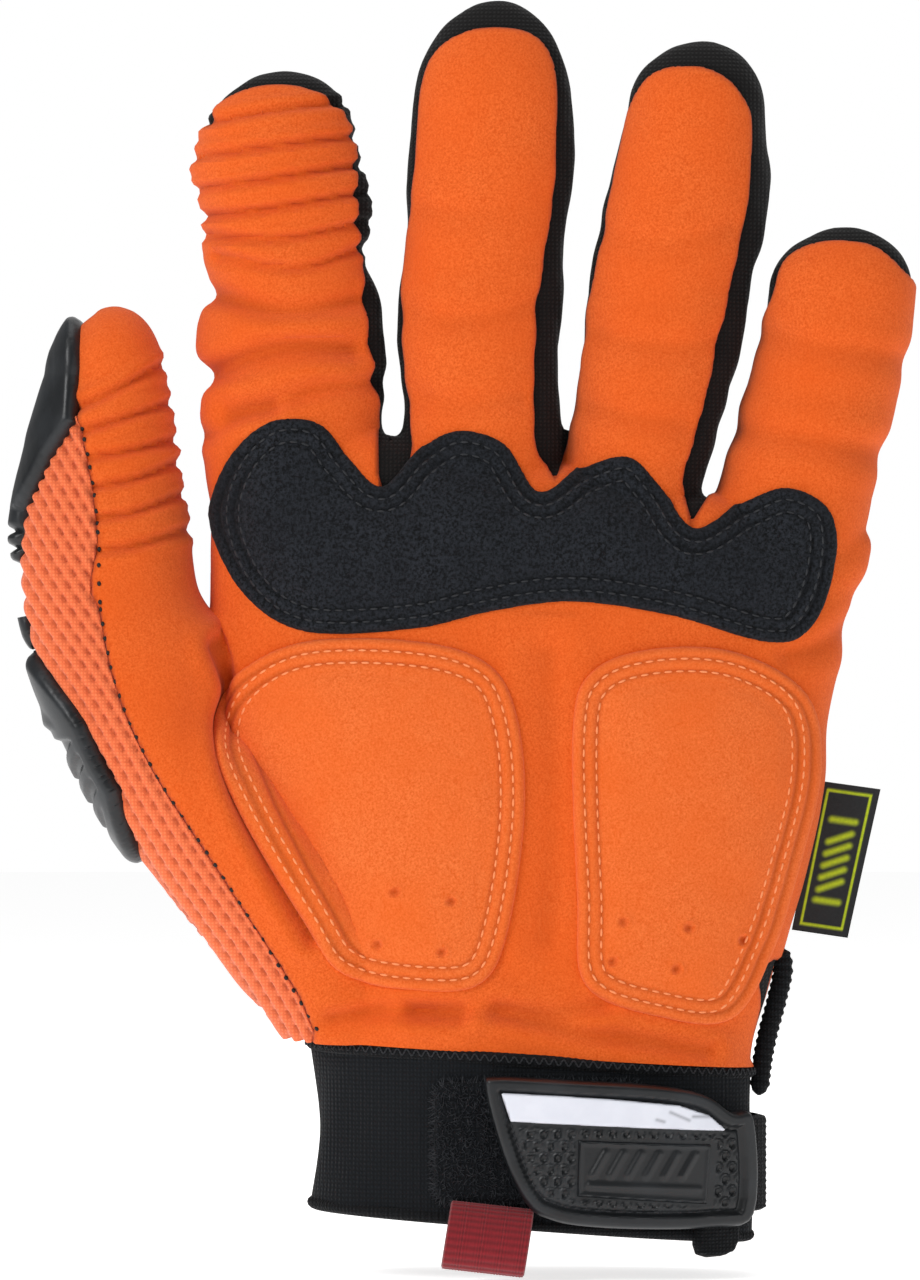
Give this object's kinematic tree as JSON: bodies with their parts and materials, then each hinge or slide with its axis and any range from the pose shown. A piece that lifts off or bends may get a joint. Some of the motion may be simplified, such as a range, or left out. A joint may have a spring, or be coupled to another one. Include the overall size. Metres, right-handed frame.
{
  "type": "work glove",
  "caption": "Left-hand impact work glove: orange suede palm with padded panels, black knuckle pad, rubber guards, stretch cuff with a hinged closure tab, pull loop and side label.",
  "frame": {"origin": "middle of the hand opening at the cuff rim", "axes": "+Z from the cuff rim to the fingertips, +Y out of the back of the hand, so the palm faces -Y; +X towards the little finger"},
  "size_m": [0.1756, 0.0544, 0.2458],
  "materials": {
    "orange_suede": "brushed synthetic suede, matt",
    "orange_knit": "ribbed stretch knit",
    "black_suede": "brushed synthetic suede, matt",
    "black_knit": "fine stretch knit",
    "cuff_knit": "ribbed stretch knit with overlocked edges",
    "binding_tape": "folded woven tape",
    "loop_pile": "fuzzy loop pile",
    "hook_tape": "moulded nylon hooks on tape",
    "moulded_rubber": "moulded rubber, satin",
    "red_webbing": "woven nylon webbing",
    "black_webbing": "woven nylon webbing",
    "reflective_film": "retroreflective film, light scratches",
    "woven_label": "satin woven label"
  },
  "bodies": {
    "hand": {"palm_panel": "orange_suede", "thumb_side_knit": "orange_knit", "back_panel": "orange_knit", "knuckle_pad": "black_suede", "thenar_pad": "orange_suede", "hypothenar_pad": "orange_suede", "knuckle_guard": "moulded_rubber", "thumb_guard_root": "moulded_rubber", "vent_gusset": "black_knit", "cuff_band": "cuff_knit", "cuff_rim_binding": "binding_tape", "cuff_top_binding": "binding_tape", "loop_patch": "loop_pile", "closure_strap": "black_webbing"},
    "closure": {"closure_tab": "moulded_rubber", "hook_patch": "hook_tape", "reflective_inlay": "reflective_film", "tab_plate": "moulded_rubber"},
    "loop": {"pull_loop": "red_webbing"},
    "label": {"side_label": "woven_label"},
    "index_base": {"index_base_palm": "orange_suede", "index_base_back": "orange_knit", "index_guard": "moulded_rubber"},
    "index_tip": {"index_tip_palm": "orange_suede", "index_tip_back": "orange_knit", "index_tip_guard": "moulded_rubber"},
    "middle_base": {"middle_base_palm": "orange_suede", "middle_base_back": "orange_knit", "middle_guard": "moulded_rubber"},
    "middle_tip": {"middle_tip_palm": "orange_suede", "middle_tip_back": "orange_knit", "middle_tip_guard": "moulded_rubber"},
    "ring_base": {"ring_base_palm": "orange_suede", "ring_base_back": "orange_knit", "ring_guard": "moulded_rubber"},
    "ring_tip": {"ring_tip_palm": "orange_suede", "ring_tip_back": "orange_knit", "ring_tip_guard": "moulded_rubber"},
    "little_base": {"little_base_palm": "orange_suede", "little_base_back": "orange_knit", "little_guard": "moulded_rubber"},
    "little_tip": {"little_tip_palm": "orange_suede", "little_tip_back": "orange_knit", "little_tip_guard": "moulded_rubber"},
    "thumb_base": {"thumb_base_palm": "orange_suede", "thumb_base_back": "orange_knit", "thumb_guard_middle": "moulded_rubber"},
    "thumb_tip": {"thumb_tip_palm": "orange_suede", "thumb_tip_back": "orange_knit", "thumb_guard_tip": "moulded_rubber"}
  },
  "joints": [
    {"name": "index_root_flex", "type": "hinge", "parent": "hand", "child": "index_base", "pos_m": [-0.0457, -0.0126, 0.161], "axis": [0.9997, 0, 0.0262], "range_deg": [0, 70], "stiffness_Nm_per_rad": 0.05},
    {"name": "index_middle_flex", "type": "hinge", "parent": "index_base", "child": "index_tip", "pos_m": [-0.0464, -0.0125, 0.182], "axis": [0.9997, 0, 0.0262], "range_deg": [0, 80], "stiffness_Nm_per_rad": 0.04},
    {"name": "middle_root_flex", "type": "hinge", "parent": "hand", "child": "middle_base", "pos_m": [-0.0094, -0.013, 0.161], "axis": [0.9993, 0, -0.0384], "range_deg": [0, 70], "stiffness_Nm_per_rad": 0.05},
    {"name": "middle_middle_flex", "type": "hinge", "parent": "middle_base", "child": "middle_tip", "pos_m": [-0.0086, -0.01275, 0.19], "axis": [0.9993, 0, -0.0384], "range_deg": [0, 80], "stiffness_Nm_per_rad": 0.04},
    {"name": "ring_root_flex", "type": "hinge", "parent": "hand", "child": "ring_base", "pos_m": [0.0248, -0.0124, 0.159], "axis": [0.9895, 0, -0.1444], "range_deg": [0, 70], "stiffness_Nm_per_rad": 0.05},
    {"name": "ring_middle_flex", "type": "hinge", "parent": "ring_base", "child": "ring_tip", "pos_m": [0.0286, -0.0124, 0.185], "axis": [0.9895, 0, -0.1444], "range_deg": [0, 80], "stiffness_Nm_per_rad": 0.04},
    {"name": "little_root_flex", "type": "hinge", "parent": "hand", "child": "little_base", "pos_m": [0.0528, -0.0116, 0.148], "axis": [0.9744, 0, -0.225], "range_deg": [0, 70], "stiffness_Nm_per_rad": 0.05},
    {"name": "little_middle_flex", "type": "hinge", "parent": "little_base", "child": "little_tip", "pos_m": [0.0584, -0.01135, 0.169], "axis": [0.9744, 0, -0.225], "range_deg": [0, 80], "stiffness_Nm_per_rad": 0.04},
    {"name": "thumb_root_flex", "type": "hinge", "parent": "hand", "child": "thumb_base", "pos_m": [-0.077, -0.014, 0.122], "axis": [0.9957, 0.03, 0.0871], "range_deg": [0, 30], "stiffness_Nm_per_rad": 0.05},
    {"name": "thumb_middle_flex", "type": "hinge", "parent": "thumb_base", "child": "thumb_tip", "pos_m": [-0.0794, -0.0124, 0.147], "axis": [0.9957, 0.03, 0.0871], "range_deg": [0, 45], "stiffness_Nm_per_rad": 0.04},
    {"name": "closure_open", "type": "hinge", "parent": "hand", "child": "closure", "pos_m": [0.0432, -0.0146, 0.012], "axis": [0, 0, 1], "range_deg": [0, 120]},
    {"name": "pull_loop_swing", "type": "hinge", "parent": "hand", "child": "loop", "pos_m": [-0.0088, -0.024, 0.0024], "axis": [-1, 0, 0], "range_deg": [0, 40]},
    {"name": "side_label_bend", "type": "hinge", "parent": "hand", "child": "label", "pos_m": [0.0542, 0, 0.071], "axis": [0.1928, 0, 0.9812], "range_deg": [-70, 70], "stiffness_Nm_per_rad": 0.002}
  ]
}
